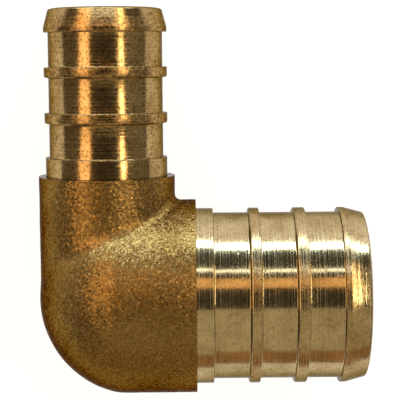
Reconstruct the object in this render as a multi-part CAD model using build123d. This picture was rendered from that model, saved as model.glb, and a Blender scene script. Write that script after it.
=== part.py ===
"""Reducing elbow for crimped plastic pipe, 3/4 inch to 1/2 inch.

The real thing is one brass forging, turned and drilled at both ends, so it is one solid here.
The two legs stand square to each other and their axes cross at the origin, with the large leg
along +X.  The elbow is modelled with its small leg along +Z, then laid on its side as it rests.
"""

import os
from math import asin, atan2, cos, degrees, hypot, pi, radians, sin, tan

from build123d import *

# ---- small leg, for 1/2 inch pipe; every distance runs from where the axes cross ----
SMALL_BORE_R = 4.45
SMALL_GROOVE_R = 5.57
SMALL_RIB_R = 6.0
SMALL_BASE_R = 5.95
SMALL_TIP_R = 5.55
SMALL_SHOULDER = 12.0
SMALL_BASE_END = 13.85
SMALL_RIBS = [(17.15, 18.17), (21.6, 22.62)]
SMALL_BARB = 26.0
SMALL_LAND_END = 26.45
SMALL_TIP = 28.3

# ---- large leg, for 3/4 inch pipe ----
LARGE_BORE_R = 6.75
LARGE_GROOVE_R = 8.2
LARGE_RIB_R = 8.65
LARGE_BASE_R = 8.65
LARGE_TIP_R = 8.15
LARGE_SHOULDER = 8.7
LARGE_BASE_END = 10.35
LARGE_RIBS = [(13.8, 14.85), (18.2, 19.35)]
LARGE_BARB = 22.7
LARGE_LAND_END = 23.2
LARGE_TIP = 25.25

# ---- what both spigots share ----
RIB_CHAMFER = 0.22
TIP_CHAMFER = 0.25
FLANK_BULGE = 0.05
BORE_CHAMFER = 0.3
DRILL_POINT = 118.0
ROOT = 1.5

# ---- forged body ----
BARREL_R = 9.58
NECK_R = 6.7
HEEL_R = BARREL_R + 0.17
HEEL_X = HEEL_R - NECK_R - 0.1
HEEL_END = HEEL_X - 0.55
BLEND_R = 1.2
SHOULDER_BREAK = 0.08

# ---- how deep each drill runs, from where the axes cross (minus is past it) ----
LARGE_DRILL_END = -1.0
SMALL_DRILL_END = -1.0


def turned_shape(outline, arc=None):
    """The solid of revolution about Z of a closed outline of (radius, height) points."""
    with BuildPart() as turned:
        with BuildSketch(Plane.XZ):
            with BuildLine():
                for run in outline:
                    Polyline(*run)
                if arc:
                    ThreePointArc(*arc)
            make_face()
        revolve(axis=Axis.Z)
    return turned.part


def spigot(shoulder, base_end, ribs, barb, land_end, tip, rib_r, base_r, groove_r, tip_r):
    """A turned spigot along +Z, from a root inside the body to its tip."""
    root = shoulder - ROOT
    lower = [(0, root), (base_r, root), (base_r, base_end), (groove_r, base_end)]
    for bottom, top in ribs:
        lower.append((groove_r, bottom))
        lower.append((rib_r - RIB_CHAMFER, bottom))
        lower.append((rib_r, bottom + RIB_CHAMFER))
        lower.append((rib_r, top))
        lower.append((groove_r, top))
    lower.append((groove_r, barb))
    lower.append((rib_r, barb))
    lower.append((rib_r, land_end))
    flank_end = (tip_r, tip - TIP_CHAMFER)
    half_r = (rib_r + tip_r) / 2 + FLANK_BULGE
    half_h = (land_end + tip - TIP_CHAMFER) / 2 + FLANK_BULGE
    upper = [flank_end, (tip_r - TIP_CHAMFER, tip), (0, tip), (0, root)]
    return turned_shape([lower, upper], (lower[-1], (half_r, half_h), flank_end))


def drilled_space(bore_r, end, tip):
    """What a drill takes out along +Z: its point, its full width, and the mouth's chamfer."""
    point = bore_r / tan(radians(DRILL_POINT / 2))
    mouth_r = bore_r + BORE_CHAMFER
    outline = [
        (0, end - point),
        (bore_r, end),
        (bore_r, tip - BORE_CHAMFER),
        (mouth_r, tip),
        (mouth_r, tip + 1),
        (0, tip + 1),
        (0, end - point),
    ]
    return turned_shape([outline])


def along_x(shape):
    """The same shape turned from +Z to +X."""
    return Rot(0, 90, 0) * shape


def barrel():
    """The barrel along X, closed by its round heel on the -X side."""
    rim = asin(BARREL_R / HEEL_R)
    points = []
    for step in range(9):
        turn = pi - rim * 0.93 * step / 8
        points.append((HEEL_X + HEEL_R * cos(turn), -HEEL_R * sin(turn)))
    end = (HEEL_END, -BARREL_R)
    points.append(end)
    with BuildPart() as turned:
        with BuildSketch(Plane.XZ):
            with BuildLine():
                Spline(*points, tangents=[(0, -1), (1, 0)])
                Polyline(end, (LARGE_SHOULDER, -BARREL_R), (LARGE_SHOULDER, 0), points[0])
            make_face()
        revolve(axis=Axis.X)
    return turned.part


def forged_body():
    """The rough body: the barrel and the neck that stands on it, blended together."""
    neck = Pos(0, 0, SMALL_SHOULDER / 2) * Cylinder(NECK_R, SMALL_SHOULDER)
    body = barrel() + neck
    seam = [edge for edge in body.edges() if edge.geom_type not in (GeomType.CIRCLE, GeomType.LINE)]
    body = fillet(seam, BLEND_R)
    small_rim = body.edges().filter_by(GeomType.CIRCLE).sort_by(Axis.Z)[-1]
    large_rim = body.edges().filter_by(GeomType.CIRCLE).sort_by(Axis.X)[-1]
    return chamfer([small_rim, large_rim], SHOULDER_BREAK)


def rest_tilt():
    """How far the small leg drops, in degrees, until its barb touches what the barrel lies on."""
    reach = hypot(SMALL_LAND_END, SMALL_RIB_R)
    return degrees(asin(BARREL_R / reach) - atan2(SMALL_RIB_R, SMALL_LAND_END))


def elbow():
    """The whole fitting, with its small leg along +Z."""
    small_leg = spigot(
        SMALL_SHOULDER,
        SMALL_BASE_END,
        SMALL_RIBS,
        SMALL_BARB,
        SMALL_LAND_END,
        SMALL_TIP,
        SMALL_RIB_R,
        SMALL_BASE_R,
        SMALL_GROOVE_R,
        SMALL_TIP_R,
    )
    large_leg = spigot(
        LARGE_SHOULDER,
        LARGE_BASE_END,
        LARGE_RIBS,
        LARGE_BARB,
        LARGE_LAND_END,
        LARGE_TIP,
        LARGE_RIB_R,
        LARGE_BASE_R,
        LARGE_GROOVE_R,
        LARGE_TIP_R,
    )
    fitting = forged_body() + small_leg + along_x(large_leg)
    fitting -= along_x(drilled_space(LARGE_BORE_R, LARGE_DRILL_END, LARGE_TIP))
    fitting -= drilled_space(SMALL_BORE_R, SMALL_DRILL_END, SMALL_TIP)
    return fitting


def main():
    """Lay the elbow on its side, barrel along X and small leg towards +Y, and save it."""
    laid = Rot(-90 - rest_tilt(), 0, 0) * elbow()
    laid.label = "reducing_elbow"
    os.makedirs("parts", exist_ok=True)
    export_step(laid, "parts/reducing_elbow.step")


main()
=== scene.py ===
"""Reducing elbow for crimped plastic pipe: the looks of one forged and turned piece of brass.

Shapes are worked out with the small leg along +Z and the large leg along +X, in millimetres,
then turned to the way the elbow lies and scaled to metres.
"""

from math import asin, atan2, cos, hypot, pi, radians, sin, tan

import bmesh
import bpy
import numpy as np
from mathutils import Matrix, Vector, noise


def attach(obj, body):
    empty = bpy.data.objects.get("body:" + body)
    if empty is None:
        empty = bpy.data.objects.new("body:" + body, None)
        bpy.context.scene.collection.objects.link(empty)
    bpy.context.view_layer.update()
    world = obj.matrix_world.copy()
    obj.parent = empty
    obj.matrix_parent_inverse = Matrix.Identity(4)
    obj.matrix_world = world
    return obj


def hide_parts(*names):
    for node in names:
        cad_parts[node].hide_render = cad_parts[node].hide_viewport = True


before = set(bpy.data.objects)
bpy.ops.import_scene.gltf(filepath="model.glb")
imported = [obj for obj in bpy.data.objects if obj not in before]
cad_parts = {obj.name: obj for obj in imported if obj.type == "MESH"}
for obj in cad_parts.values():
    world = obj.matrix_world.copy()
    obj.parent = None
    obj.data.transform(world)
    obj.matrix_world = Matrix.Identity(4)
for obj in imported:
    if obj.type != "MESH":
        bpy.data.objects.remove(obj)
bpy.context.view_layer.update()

MM = 0.001

# ---- spigots: places along the leg from where the axes cross, then radii ----
SMALL = dict(
    shoulder=12.0, base_end=13.85, ribs=[(17.15, 18.17), (21.6, 22.62)], barb=26.0, land_end=26.45,
    tip=28.3, base_r=5.95, rib_r=6.0, groove_r=5.57, tip_r=5.55, bore_r=4.45,
)
LARGE = dict(
    shoulder=8.7, base_end=10.35, ribs=[(13.8, 14.85), (18.2, 19.35)], barb=22.7, land_end=23.2,
    tip=25.25, base_r=8.65, rib_r=8.65, groove_r=8.2, tip_r=8.15, bore_r=6.75,
)
SPIGOT_ROOT = 1.0  # how far a spigot's solid reaches into the body

# ---- how far the lathe's corners are rounded ----
EDGE = 0.05
GROOVE_FOOT = 0.1
RIB_FOOT = 0.12
RIB_BODY_SIDE = 0.22
BARB_TIP_SIDE = 0.6
TIP_OUTER = 0.2
TIP_INNER = 0.1
TIP_BEVEL_WIDTH = 0.4
TIP_BEVEL_DROP = 0.12
ARC_STEPS = 4
TURNS = 192
ON_AXIS = 1e-6

# ---- drills and countersinks ----
DRILL_END = -1.0
DRILL_HALF_POINT = radians(59)
COUNTERSINK = 0.3
COUNTERSINK_INNER = 0.08
COUNTERSINK_OUTER = 0.06
PAST_TIP = 0.9

# ---- forged body ----
BARREL_R = 9.58
NECK_R = 6.7
HEEL_R = BARREL_R + 0.17
HEEL_X = HEEL_R - NECK_R - 0.1
HEEL_BLEND = 0.25
CREASE = 0.5  # the crease's rounding, which fades out over CREASE_FADE towards the heel
CREASE_LEAST = 0.02
CREASE_FADE = 6.2
PAST_SHOULDER = 1.2
SKIN = 0.05  # how far the body is drawn in, to leave room for the skin's height

# ---- how the body's mesh is found, by rays out of a point inside it ----
RAY_START = (0.6, 0.0, 0.8)
RAYS_A_SIDE = 104
RAY_NEAR = 3.0
RAY_FAR = 18.0
HALVINGS = 26
SLOPE_STEP = 0.01
WELD = 0.002

# ---- the skin's height: how many features a millimetre holds, and how high they are ----
WAVE_RATE, WAVE_HEIGHT = 0.35, 0.02
COARSE_RATE, COARSE_HEIGHT = 2.2, 0.004
FINE_RATE, FINE_HEIGHT = 7.5, 0.005
FLASH_RATE, FLASH_HEIGHT = 0.9, 0.035
FLASH_HALF_WIDTH = 0.5
FLASH_SHARE, FLASH_SWING = 0.7, 0.6
FLASH_SQUARENESS = 4

CRISP_ANGLE = radians(38)

# ---- how the elbow lies: on the barrel and on the small leg's barb ----
SMALL_BARB_TURN = atan2(SMALL["rib_r"], SMALL["land_end"])
TILT = asin(BARREL_R / hypot(SMALL["land_end"], SMALL["rib_r"])) - SMALL_BARB_TURN
LAID = Matrix.Rotation(-pi / 2 - TILT, 4, "X")
TO_ROW = LAID @ Matrix.Scale(MM, 4)
FLOOR_Z = -BARREL_R * MM

FORGED, TURNED_SMALL, TURNED_LARGE, BORED = range(4)


# ---------------------------------------------------------------- shapes


def rounded(corners):
    """The outline through (radius, height, rounding) corners, each rounded by an arc."""
    points = []
    last = len(corners) - 1
    for i, (r, h, rounding) in enumerate(corners):
        here = Vector((r, h))
        if rounding == 0 or i in (0, last):
            points.append(here)
            continue
        before = (Vector(corners[i - 1][:2]) - here).normalized()
        after = (Vector(corners[i + 1][:2]) - here).normalized()
        half = before.angle(after) / 2
        reach = rounding / tan(half)
        centre = here + (before + after).normalized() * (rounding / sin(half))
        start = (here + before * reach - centre).normalized()
        end = (here + after * reach - centre).normalized()
        for k in range(ARC_STEPS + 1):
            points.append(centre + start.slerp(end, k / ARC_STEPS).normalized() * rounding)
    return points


def spigot_corners(leg):
    """Corners of a spigot's outside, from its root in the body to its tip."""
    root = leg["shoulder"] - SPIGOT_ROOT
    groove_r, rib_r, tip_r, tip = leg["groove_r"], leg["rib_r"], leg["tip_r"], leg["tip"]
    corners = [(0, root, 0), (leg["base_r"], root, 0), (leg["base_r"], leg["base_end"], EDGE)]
    corners.append((groove_r, leg["base_end"], GROOVE_FOOT))
    for bottom, top in leg["ribs"]:
        corners.append((groove_r, bottom, RIB_FOOT))
        corners.append((rib_r, bottom, RIB_BODY_SIDE))
        corners.append((rib_r, top, EDGE))
        corners.append((groove_r, top, GROOVE_FOOT))
    corners.append((groove_r, leg["barb"], GROOVE_FOOT))
    corners.append((rib_r, leg["barb"], EDGE))
    corners.append((rib_r, leg["land_end"], BARB_TIP_SIDE))
    corners.append((tip_r, tip - TIP_BEVEL_DROP, TIP_OUTER))
    corners.append((tip_r - TIP_BEVEL_WIDTH, tip, TIP_INNER))
    corners.append((0, tip, 0))
    return corners


def drill_corners(leg):
    """Corners of what the drill and the countersink take out of a leg."""
    r, tip = leg["bore_r"], leg["tip"]
    point = r / tan(DRILL_HALF_POINT)
    return [
        (0, DRILL_END - point, 0),
        (r, DRILL_END, EDGE),
        (r, tip - COUNTERSINK, COUNTERSINK_INNER),
        (r + COUNTERSINK, tip, COUNTERSINK_OUTER),
        (r + COUNTERSINK + PAST_TIP, tip + PAST_TIP, 0),
        (0, tip + PAST_TIP, 0),
    ]


def turned_object(name, corners, finish, upright=True):
    """A closed solid of revolution about Z, or about X."""
    mesh = bmesh.new()
    rings = []
    for point in rounded(corners):
        if point.x < ON_AXIS:
            rings.append([mesh.verts.new((0, 0, point.y))])
            continue
        ring = []
        for k in range(TURNS):
            turn = 2 * pi * k / TURNS
            ring.append(mesh.verts.new((point.x * cos(turn), point.x * sin(turn), point.y)))
        rings.append(ring)
    for low, high in zip(rings, rings[1:]):
        for k in range(TURNS):
            after = (k + 1) % TURNS
            if len(low) == 1:
                mesh.faces.new((low[0], high[after], high[k]))
            elif len(high) == 1:
                mesh.faces.new((low[k], low[after], high[0]))
            else:
                mesh.faces.new((low[k], low[after], high[after], high[k]))
    bmesh.ops.recalc_face_normals(mesh, faces=mesh.faces)
    if not upright:
        bmesh.ops.transform(mesh, matrix=Matrix.Rotation(pi / 2, 4, "Y"), verts=mesh.verts)
    return as_object(name, mesh, FINISHES, finish)


def as_object(name, mesh, materials, index=0):
    """A new object holding a bmesh, with every face on one of its materials."""
    for face in mesh.faces:
        face.material_index = index
    data = bpy.data.meshes.new(name)
    for material in materials:
        data.materials.append(material)
    mesh.to_mesh(data)
    mesh.free()
    made = bpy.data.objects.new(name, data)
    bpy.context.scene.collection.objects.link(made)
    return made


def smooth_least(a, b, r):
    """The smaller of two distances, with a round blend of about r where both are small."""
    both = np.hypot(np.maximum(r - a, 0), np.maximum(r - b, 0))
    return np.maximum(np.minimum(a, b), r) - both


def body_distance(points):
    """How far points are outside the forged body, less than zero inside it."""
    x, y, z = points.T
    barrel = np.hypot(y, z) - BARREL_R
    heel = np.sqrt((x - HEEL_X) ** 2 + y**2 + z**2) - HEEL_R
    heel = np.where(x < HEEL_X, heel, -1.0)
    share = np.clip(0.5 + 0.5 * (heel - barrel) / HEEL_BLEND, 0, 1)
    closed = barrel + (heel - barrel) * share + HEEL_BLEND * share * (1 - share) * 0.5
    neck = np.maximum(np.hypot(x, y) - NECK_R, -z)
    fade = np.clip((x + CREASE_FADE) / CREASE_FADE, 0, 1)
    joined = smooth_least(closed, neck, CREASE_LEAST + CREASE * fade * fade * (3 - 2 * fade))
    past_large = x - LARGE["shoulder"] - PAST_SHOULDER
    past_small = z - SMALL["shoulder"] - PAST_SHOULDER
    return np.maximum(joined, np.maximum(past_large, past_small)) + SKIN


def body_directions():
    """Directions spread over a cube's six sides, and the faces that join them."""
    side = np.tan(np.linspace(-pi / 4, pi / 4, RAYS_A_SIDE + 1))
    u, v = np.meshgrid(side, side)
    one = np.ones_like(u)
    sides = [(u, v, one), (-u, v, -one), (one, u, v), (-one, -u, v), (u, -one, v), (-u, one, v)]
    rays = np.concatenate([np.stack([a.ravel() for a in s], 1) for s in sides])
    rays /= np.linalg.norm(rays, axis=1)[:, None]
    row = RAYS_A_SIDE + 1
    corner = (np.arange(RAYS_A_SIDE)[:, None] * row + np.arange(RAYS_A_SIDE)[None, :]).ravel()
    square = np.stack([corner, corner + 1, corner + 1 + row, corner + row], 1)
    faces = np.concatenate([square + i * row * row for i in range(6)])
    return rays, faces


def skin_height(point):
    """The skin's height in millimetres at a point: soft waves, blasted grain, the flash line."""
    waves = noise.noise(point * WAVE_RATE) * WAVE_HEIGHT
    coarse = noise.noise(point * COARSE_RATE) * COARSE_HEIGHT
    fine = noise.noise(point * FINE_RATE) * FINE_HEIGHT
    flash = max(0.0, 1 - (abs(point.y) / FLASH_HALF_WIDTH) ** FLASH_SQUARENESS)
    flash *= FLASH_HEIGHT * (FLASH_SHARE + FLASH_SWING * noise.noise(point * FLASH_RATE))
    return waves + (coarse + fine) + flash


def body_points(rays):
    """Where the rays leave the forged body, raised along its slope by the skin's height."""
    centre = np.array(RAY_START)
    near = np.full(len(rays), RAY_NEAR)
    far = np.full(len(rays), RAY_FAR)
    for _ in range(HALVINGS):
        middle = (near + far) / 2
        inside = body_distance(centre + rays * middle[:, None]) < 0
        near = np.where(inside, middle, near)
        far = np.where(inside, far, middle)
    points = centre + rays * near[:, None]
    slope = np.stack([body_distance(points + SLOPE_STEP * axis) for axis in np.eye(3)], 1)
    slope -= body_distance(points)[:, None]
    normal = slope / np.linalg.norm(slope, axis=1)[:, None]
    height = np.array([skin_height(Vector(point)) for point in points])
    return points + normal * height[:, None]


def forged_object():
    """The forged body as a closed solid, cut flat at both shoulders."""
    rays, faces = body_directions()
    mesh = bmesh.new()
    verts = [mesh.verts.new(point) for point in body_points(rays)]
    for face in faces:
        mesh.faces.new([verts[i] for i in face])
    bmesh.ops.remove_doubles(mesh, verts=mesh.verts, dist=WELD)
    bmesh.ops.recalc_face_normals(mesh, faces=mesh.faces)
    forged = as_object("forged", mesh, FINISHES, FORGED)
    cut_at_shoulder(forged, SMALL["shoulder"], Vector((0, 0, 1)), TURNED_SMALL)
    cut_at_shoulder(forged, LARGE["shoulder"], Vector((1, 0, 0)), TURNED_LARGE)
    return forged


def cut_at_shoulder(made, shoulder, axis, finish):
    """Cut an object flat across an axis, as the lathe faces a shoulder."""
    mesh = bmesh.new()
    mesh.from_mesh(made.data)
    everything = mesh.verts[:] + mesh.edges[:] + mesh.faces[:]
    place = axis * shoulder
    bmesh.ops.bisect_plane(mesh, geom=everything, plane_co=place, plane_no=axis, clear_outer=True)
    rim = [edge for edge in mesh.edges if edge.is_boundary]
    for face in bmesh.ops.contextual_create(mesh, geom=rim)["faces"]:
        face.material_index = finish
    bmesh.ops.recalc_face_normals(mesh, faces=mesh.faces)
    mesh.to_mesh(made.data)
    mesh.free()


def combine(target, other, operation):
    """Join another solid to the target, or cut it out, and delete the other."""
    change = target.modifiers.new("combine", "BOOLEAN")
    change.operation = operation
    change.solver = "EXACT"
    change.object = other
    bpy.context.view_layer.update()
    seen = target.evaluated_get(bpy.context.evaluated_depsgraph_get())
    combined = bpy.data.meshes.new_from_object(seen)
    target.modifiers.remove(change)
    target.data = combined
    bpy.data.objects.remove(other)


def shade(made):
    """Smooth everywhere, with the machined edges kept crisp."""
    mesh = bmesh.new()
    mesh.from_mesh(made.data)
    for face in mesh.faces:
        face.smooth = True
    for edge in mesh.edges:
        forged = all(face.material_index == FORGED for face in edge.link_faces)
        edge.smooth = forged or edge.calc_face_angle(0) < CRISP_ANGLE
    mesh.to_mesh(made.data)
    mesh.free()


# ---------------------------------------------------------------- materials
# Scales are features a metre, and depths are metres.

# ---- the forged skin ----
FORGED_TONES = [
    (0.36, (0.150, 0.082, 0.019)),
    (0.5, (0.232, 0.140, 0.045)),
    (0.64, (0.36, 0.230, 0.085)),
]
FORGED_SHEEN = (0.16, 0.14, 0.12, 1)
BLOTCH_SCALE = 230
GRAIN_SCALE = 5200
GRAIN_SHARE = 0.75
GRAIN_BUMP = 0.4
GRAIN_DEPTH = 0.00010
CELL_SCALE = 6500.0
CELL_TILT = 0.30
CELL_ROUGHNESS = 0.20  # the least that a cell has, and as much again at most

# ---- what the lathe leaves, and painted shade in the small leg's darker tones ----
# The small leg's tones are the same brass made darker and more orange than PALE: painted shade, which dims
# what its sides reflect.
ORANGE_PAINTED_SHADE = (0.31, 0.195, 0.077), (0.48, 0.335, 0.155)
PALE = (0.40, 0.30, 0.155), (0.60, 0.48, 0.28)
TONE_STOPS = 0.38, 0.62
TURNED_SHEEN = (0.30, 0.29, 0.27, 1)
CLOUD_SCALE = 420
CLOUD_SHARE = 0.6
LINE_SHARE = 0.4
LINE_SCALE, LINE_DEPTH = 9000.0, 0.000005
BAND_SCALE, BAND_DEPTH = 1500.0, 0.000010
CHATTER_SCALE, CHATTER_DEPTH = 330, 0.000018
CHATTER_SQUEEZE = 8.0  # along the axis, chatter marks are 1 + this many times shorter
POCK_SCALE, POCK_DEPTH = 2600, 0.00003
POCK_BUMP = 0.5
POCK_TONES = [(0.40, (0.13, 0.062, 0.016)), (0.60, (0.56, 0.36, 0.14))]
POCK_ROUGHNESS = 0.2
PIT_SCALE, PIT_DEPTH = 1100.0, 0.00002
PIT_BUMP = 0.3
PIT_RADII = 0.04, 0.12
SPECK_SCALE = 3600
SPECK_STOPS = 0.36, 0.50
SPECK_DARKNESS = 1.2
RIB_ABOVE_GROOVE = 0.08, 0.4  # millimetres, where the ribs' dull finish starts and is full
RIB_ROUGHNESS = 0.09
LEAST_ROUGHNESS = 0.06


class Nodes:
    """Short ways to add and join shader nodes.

    vector gives a vector and measure gives a number, from nodes of the same kind.
    """

    def __init__(self, name):
        self.material = bpy.data.materials.new(name)
        self.material.use_nodes = True
        self.tree = self.material.node_tree
        self.shader = self.tree.nodes["Principled BSDF"]

    def add(self, kind, inputs=None, **settings):
        node = self.tree.nodes.new(kind)
        for key, value in settings.items():
            setattr(node, key, value)
        for key, value in (inputs or {}).items():
            if isinstance(value, bpy.types.NodeSocket):
                self.tree.links.new(value, node.inputs[key])
            else:
                node.inputs[key].default_value = value
        return node

    def place(self):
        return self.add("ShaderNodeTexCoord").outputs["Object"]

    def math(self, operation, *values):
        node = self.add("ShaderNodeMath", dict(enumerate(values)), operation=operation)
        return node.outputs["Value"]

    def vector(self, operation, *values):
        node = self.add("ShaderNodeVectorMath", dict(enumerate(values)), operation=operation)
        return node.outputs["Vector"]

    def measure(self, operation, *values):
        node = self.add("ShaderNodeVectorMath", dict(enumerate(values)), operation=operation)
        return node.outputs["Value"]

    def scaled(self, vector, factor):
        inputs = {0: vector, "Scale": factor}
        return self.add("ShaderNodeVectorMath", inputs, operation="SCALE").outputs["Vector"]

    def noise(self, where, scale, detail, rough=0.5):
        inputs = {"Vector": where, "Scale": scale, "Detail": detail, "Roughness": rough}
        return self.add("ShaderNodeTexNoise", inputs).outputs["Fac"]

    def noise_along(self, along, scale, detail):
        inputs = {"W": along, "Scale": scale, "Detail": detail}
        return self.add("ShaderNodeTexNoise", inputs, noise_dimensions="1D").outputs["Fac"]

    def cells(self, where, scale):
        inputs = {"Vector": where, "Scale": scale}
        return self.add("ShaderNodeTexVoronoi", inputs, feature="F1").outputs

    def ramp(self, factor, stops):
        node = self.add("ShaderNodeValToRGB", {"Fac": factor})
        ramp = node.color_ramp
        while len(ramp.elements) < len(stops):
            ramp.elements.new(0.5)
        for element, (place, colour) in zip(ramp.elements, stops):
            element.position = place
            element.color = (*colour, 1)
        return node.outputs["Color"]

    def grey_ramp(self, factor, low, high, darkest=0):
        return self.ramp(factor, [(low, (darkest, darkest, darkest)), (high, (1, 1, 1))])

    def blend(self, share, first, second, how="MIX"):
        # Inputs 6 and 7 and output 2 are the ones for colours.
        inputs = {0: share, 6: first, 7: second}
        return self.add("ShaderNodeMix", inputs, data_type="RGBA", blend_type=how).outputs[2]

    def bump(self, height, strength, distance, under=None):
        inputs = {"Height": height, "Strength": strength, "Distance": distance}
        if under is not None:
            inputs["Normal"] = under
        return self.add("ShaderNodeBump", inputs).outputs["Normal"]

    def finish(self, **sockets):
        """Set the shader's sockets, named here with _ for a space, and give the material."""
        for name, value in sockets.items():
            target = self.shader.inputs[name.replace("_", " ").title()]
            if isinstance(value, bpy.types.NodeSocket):
                self.tree.links.new(value, target)
            else:
                target.default_value = value
        return self.material


def forged_brass():
    """Blasted forging skin: matt brown-gold with fine grains that glint."""
    n = Nodes("forged_brass")
    where = n.place()
    blotch = n.noise(where, BLOTCH_SCALE, detail=4)
    grain = n.noise(where, GRAIN_SCALE, detail=2, rough=0.7)
    tone = n.math("MULTIPLY", blotch, 1 - GRAIN_SHARE)
    tone = n.math("MULTIPLY_ADD", grain, GRAIN_SHARE, tone)
    cell = n.cells(where, CELL_SCALE)["Color"]
    facing = n.add("ShaderNodeNewGeometry").outputs["Normal"]
    tip = n.scaled(n.vector("SUBTRACT", cell, (0.5, 0.5, 0.5)), CELL_TILT)
    grains = n.vector("NORMALIZE", n.vector("ADD", facing, tip))
    grit = n.add("ShaderNodeSeparateXYZ", {0: cell}).outputs["Z"]
    return n.finish(
        base_color=n.ramp(tone, FORGED_TONES),
        specular_tint=FORGED_SHEEN,
        metallic=1.0,
        roughness=n.math("MULTIPLY_ADD", grit, CELL_ROUGHNESS, CELL_ROUGHNESS),
        normal=n.bump(grain, GRAIN_BUMP, GRAIN_DEPTH, grains),
    )


def rib_share(n, from_axis, along, leg):
    """How far up a rib or the barb a point is, from 0 in a groove to 1 near the top."""
    low, high = [(leg["groove_r"] + above) * MM for above in RIB_ABOVE_GROOVE]
    inputs = {"Value": n.measure("LENGTH", from_axis), "From Min": low, "From Max": high}
    share = n.add("ShaderNodeMapRange", inputs).outputs["Result"]
    past_base = n.math("GREATER_THAN", along, leg["base_end"] * MM)
    return n.math("MULTIPLY", share, past_base)


def turned_brass(name, axis, leg, tones, roughness, rings, marks, dulling):
    """Brass cut on a lathe: bright, with rings and chatter round the axis, duller on the ribs.

    The rings vary the roughness, the marks are how deep the lathe's bumps look, and the dulling
    is how far the ribs and the specks darken.
    """
    n = Nodes(name)
    where = n.place()
    along = n.measure("DOT_PRODUCT", where, axis)
    on_axis = n.scaled(axis, along)
    lines = n.noise_along(along, LINE_SCALE, detail=3.0)
    bands = n.noise_along(along, BAND_SCALE, detail=2.0)
    squeezed = n.vector("ADD", where, n.scaled(on_axis, CHATTER_SQUEEZE))
    chatter = n.noise(squeezed, CHATTER_SCALE, detail=3, rough=0.6)
    pocks = n.noise(where, POCK_SCALE, detail=3, rough=0.75)
    rib = rib_share(n, n.vector("SUBTRACT", where, on_axis), along, leg)

    tone = n.math("MULTIPLY", n.noise(where, CLOUD_SCALE, detail=3), CLOUD_SHARE)
    tone = n.math("MULTIPLY_ADD", lines, LINE_SHARE, tone)
    colour = n.ramp(tone, list(zip(TONE_STOPS, tones)))
    colour = n.blend(n.math("MULTIPLY", rib, dulling), colour, n.ramp(pocks, POCK_TONES))
    specks = n.noise(where, SPECK_SCALE, detail=3, rough=0.8)
    specks = n.grey_ramp(specks, *SPECK_STOPS, darkest=1 - SPECK_DARKNESS * dulling)
    colour = n.blend(1.0, colour, specks, "MULTIPLY")

    pits = n.grey_ramp(n.cells(where, PIT_SCALE)["Distance"], *PIT_RADII)
    bumped = n.bump(chatter, marks, CHATTER_DEPTH)
    bumped = n.bump(bands, marks, BAND_DEPTH, bumped)
    bumped = n.bump(lines, marks, LINE_DEPTH, bumped)
    bumped = n.bump(pits, PIT_BUMP, PIT_DEPTH, bumped)
    bumped = n.bump(pocks, n.math("MULTIPLY", rib, POCK_BUMP), POCK_DEPTH, bumped)

    rough = n.math("MULTIPLY_ADD", lines, rings, roughness - rings / 2)
    rough = n.math("MULTIPLY_ADD", pocks, POCK_ROUGHNESS, rough)
    rough = n.math("SUBTRACT", rough, POCK_ROUGHNESS / 2)
    rough = n.math("MAXIMUM", rough, LEAST_ROUGHNESS)
    rough = n.math("MULTIPLY_ADD", rib, RIB_ROUGHNESS, rough)
    return n.finish(
        base_color=colour,
        specular_tint=TURNED_SHEEN,
        metallic=1.0,
        roughness=rough,
        normal=bumped,
    )


def mix_finishes():
    """The elbow's materials, in the order of their indices."""
    small_axis = LAID @ Vector((0, 0, 1))
    large_axis = Vector((1, 0, 0))
    return [
        forged_brass(),
        # The small leg takes the darker tones, painted shade over the whole leg and its reflections.
        turned_brass(
            "turned_small_leg", small_axis, SMALL, ORANGE_PAINTED_SHADE, roughness=0.17, rings=0.3, marks=0.6, dulling=0.55
        ),
        turned_brass(
            "turned_large_leg", large_axis, LARGE, PALE, roughness=0.15, rings=0.5, marks=0.8, dulling=0.28
        ),
        turned_brass(
            "drilled_bore", small_axis, SMALL, PALE, roughness=0.32, rings=0.3, marks=0.8, dulling=0.0
        ),
    ]


FINISHES = mix_finishes()


# ---------------------------------------------------------------- the elbow


def build_elbow():
    """The whole elbow as one closed piece, lying in the row's frame."""
    elbow = forged_object()
    combine(elbow, turned_object("small_leg", spigot_corners(SMALL), TURNED_SMALL), "UNION")
    combine(elbow, turned_object("large_leg", spigot_corners(LARGE), TURNED_LARGE, upright=False), "UNION")
    combine(elbow, turned_object("large_drill", drill_corners(LARGE), BORED, upright=False), "DIFFERENCE")
    combine(elbow, turned_object("small_drill", drill_corners(SMALL), BORED), "DIFFERENCE")
    shade(elbow)
    elbow.data.transform(TO_ROW)
    elbow.name = "brass_elbow"
    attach(elbow, "root")
    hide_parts("reducing_elbow")


# ---------------------------------------------------------------- studio

# ---- the camera, placed in millimetres from where the axes cross ----
VIEW_DISTANCE = 138.0
VIEW_SIDE = 9.05
VIEW_UP = 9.52
VIEW_PITCH = radians(5.72)
VIEW_YAW = radians(0.42)
VIEW_ROLL = radians(-0.47)
LENS = 125.2
SENSOR_WIDTH = 36.0
CLIP_START = 0.01

# ---- soft panels: degrees off the view towards the picture's top, or towards its bottom
# ---- where they are negative, then width and height in metres, brightness and colour ----
LIGHT_REACH = 0.32
PANELS_ABOVE_AND_BELOW = {
    "far_window": (73, 0.50, 0.056, 12.0, (0.70, 0.88, 1.0)),
    "upper_strip": (36, 0.30, 0.020, 4.2, (0.94, 1.0, 1.0)),
    "warm_strip": (19, 0.22, 0.070, 1.5, (1.0, 0.58, 0.24)),
    "near_panel": (-47, 0.66, 0.40, 0.52, (1.0, 0.85, 0.54)),
    "low_warm_panel": (-90.5, 0.60, 0.13, 0.36, (1.0, 0.50, 0.17)),
}
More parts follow.
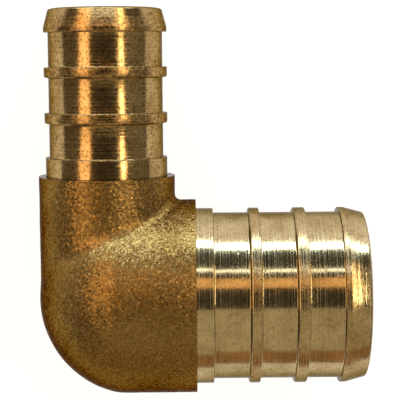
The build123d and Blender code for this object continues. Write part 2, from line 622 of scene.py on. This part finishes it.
# ---- the same with the degrees towards the picture's right, or left, then a lean to its top ----
PANELS_AT_THE_SIDES = {
    "left_panel": (-38.5, 0.26, 0.36, 0.12, 3.3, (1.0, 0.66, 0.36)),
    "left_dim_panel": (-66, 0, 0.40, 0.22, 0.12, (1.0, 0.88, 0.64)),
    "right_dim_panel": (66, 0, 0.40, 0.24, 0.24, (1.0, 0.92, 0.70)),
    "right_strip": (35, 0.27, 0.27, 0.05, 9.5, (1.0, 0.80, 0.52)),
}

# ---- the room and the floor ----
ROOM_COLOUR = (0.30, 0.27, 0.22, 1)
ROOM_STRENGTH = 0.22
FLOOR_HALF_SIZE = 1.5
FLOOR_BOUNCE = (0.42, 0.33, 0.21, 1)
FLOOR_SEEN = (0.35, 0.35, 0.35, 1)
FLOOR_GLOW = 0.86


def view_axes():
    """The picture's right, up and towards-the-camera directions, in the row's frame."""
    turn = Matrix.Rotation(VIEW_ROLL, 3, "Y") @ Matrix.Rotation(VIEW_PITCH, 3, "X")
    turn = turn @ Matrix.Rotation(VIEW_YAW, 3, "Z")
    back = turn.transposed() @ Vector((0, -1, 0))
    right = turn.transposed() @ Vector((1, 0, 0))
    up = turn.transposed() @ Vector((0, 0, 1))
    return [LAID.to_3x3() @ axis for axis in (right, up, back)]


RIGHT, UP, BACK = view_axes()


def add_camera():
    """The camera, looking down on the elbow as it lies."""
    data = bpy.data.cameras.new("camera")
    data.lens = LENS
    data.sensor_width = SENSOR_WIDTH
    data.clip_start = CLIP_START
    camera = bpy.data.objects.new("camera", data)
    bpy.context.scene.collection.objects.link(camera)
    place = Matrix((RIGHT, UP, BACK)).transposed().to_4x4()
    place.translation = (RIGHT * VIEW_SIDE + UP * VIEW_UP + BACK * VIEW_DISTANCE) * MM
    camera.matrix_world = place
    bpy.context.scene.camera = camera


def add_light(name, towards, across, wide, tall, brightness, colour):
    """A soft panel in a direction given as (right, up, back), wide along across."""
    right, up, back = towards
    away = (RIGHT * right + UP * up + BACK * back).normalized()
    data = bpy.data.lights.new(name, "AREA")
    data.shape = "RECTANGLE"
    data.size = wide
    data.size_y = tall
    data.color = colour
    data.energy = brightness * pi * wide * tall
    lamp = bpy.data.objects.new(name, data)
    bpy.context.scene.collection.objects.link(lamp)
    side = across - away * across.dot(away)
    side.normalize()
    top = away.cross(side)
    place = Matrix((side, top, away)).transposed().to_4x4()
    place.translation = away * LIGHT_REACH
    lamp.matrix_world = place


def add_lights():
    """Soft panels round the camera, the largest one towards the picture's lower edge."""
    for name, (degrees, *panel) in PANELS_ABOVE_AND_BELOW.items():
        off, back = sin(radians(degrees)), cos(radians(degrees))
        add_light(name, (0, off, back), RIGHT, *panel)
    for name, (degrees, lean, *panel) in PANELS_AT_THE_SIDES.items():
        off, back = sin(radians(degrees)), cos(radians(degrees))
        add_light(name, (off, lean, back), UP, *panel)


def add_world():
    """An even, dim room."""
    world = bpy.data.worlds.new("room")
    world.use_nodes = True
    room = world.node_tree.nodes["Background"]
    room.inputs["Color"].default_value = ROOM_COLOUR
    room.inputs["Strength"].default_value = ROOM_STRENGTH
    bpy.context.scene.world = world


def floor_white():
    """White to the camera and in what reflects it, and a warm grey for the light it gives back."""
    n = Nodes("floor_white")
    n.tree.nodes.remove(n.shader)
    path = n.add("ShaderNodeLightPath").outputs
    seen = n.math("MAXIMUM", path["Is Camera Ray"], path["Is Glossy Ray"])
    seen = n.math("MAXIMUM", seen, path["Is Transmission Ray"])
    bounce = n.add("ShaderNodeBsdfDiffuse", {"Color": FLOOR_BOUNCE}).outputs[0]
    lit = n.add("ShaderNodeBsdfDiffuse", {"Color": FLOOR_SEEN}).outputs[0]
    glow = n.add("ShaderNodeEmission", {"Color": (1, 1, 1, 1), "Strength": FLOOR_GLOW}).outputs[0]
    white = n.add("ShaderNodeAddShader", {0: lit, 1: glow}).outputs[0]
    mixed = n.add("ShaderNodeMixShader", {0: seen, 1: bounce, 2: white}).outputs[0]
    n.tree.links.new(mixed, n.tree.nodes["Material Output"].inputs["Surface"])
    return n.material


def add_floor():
    """A plain floor, which keeps the elbow's soft shadow."""
    mesh = bmesh.new()
    bmesh.ops.create_grid(mesh, x_segments=1, y_segments=1, size=FLOOR_HALF_SIZE)
    floor = as_object("floor", mesh, [floor_white()])
    floor.location.z = FLOOR_Z


build_elbow()
add_floor()
add_world()
add_lights()
add_camera()
bpy.context.scene.view_settings.view_transform = "Standard"
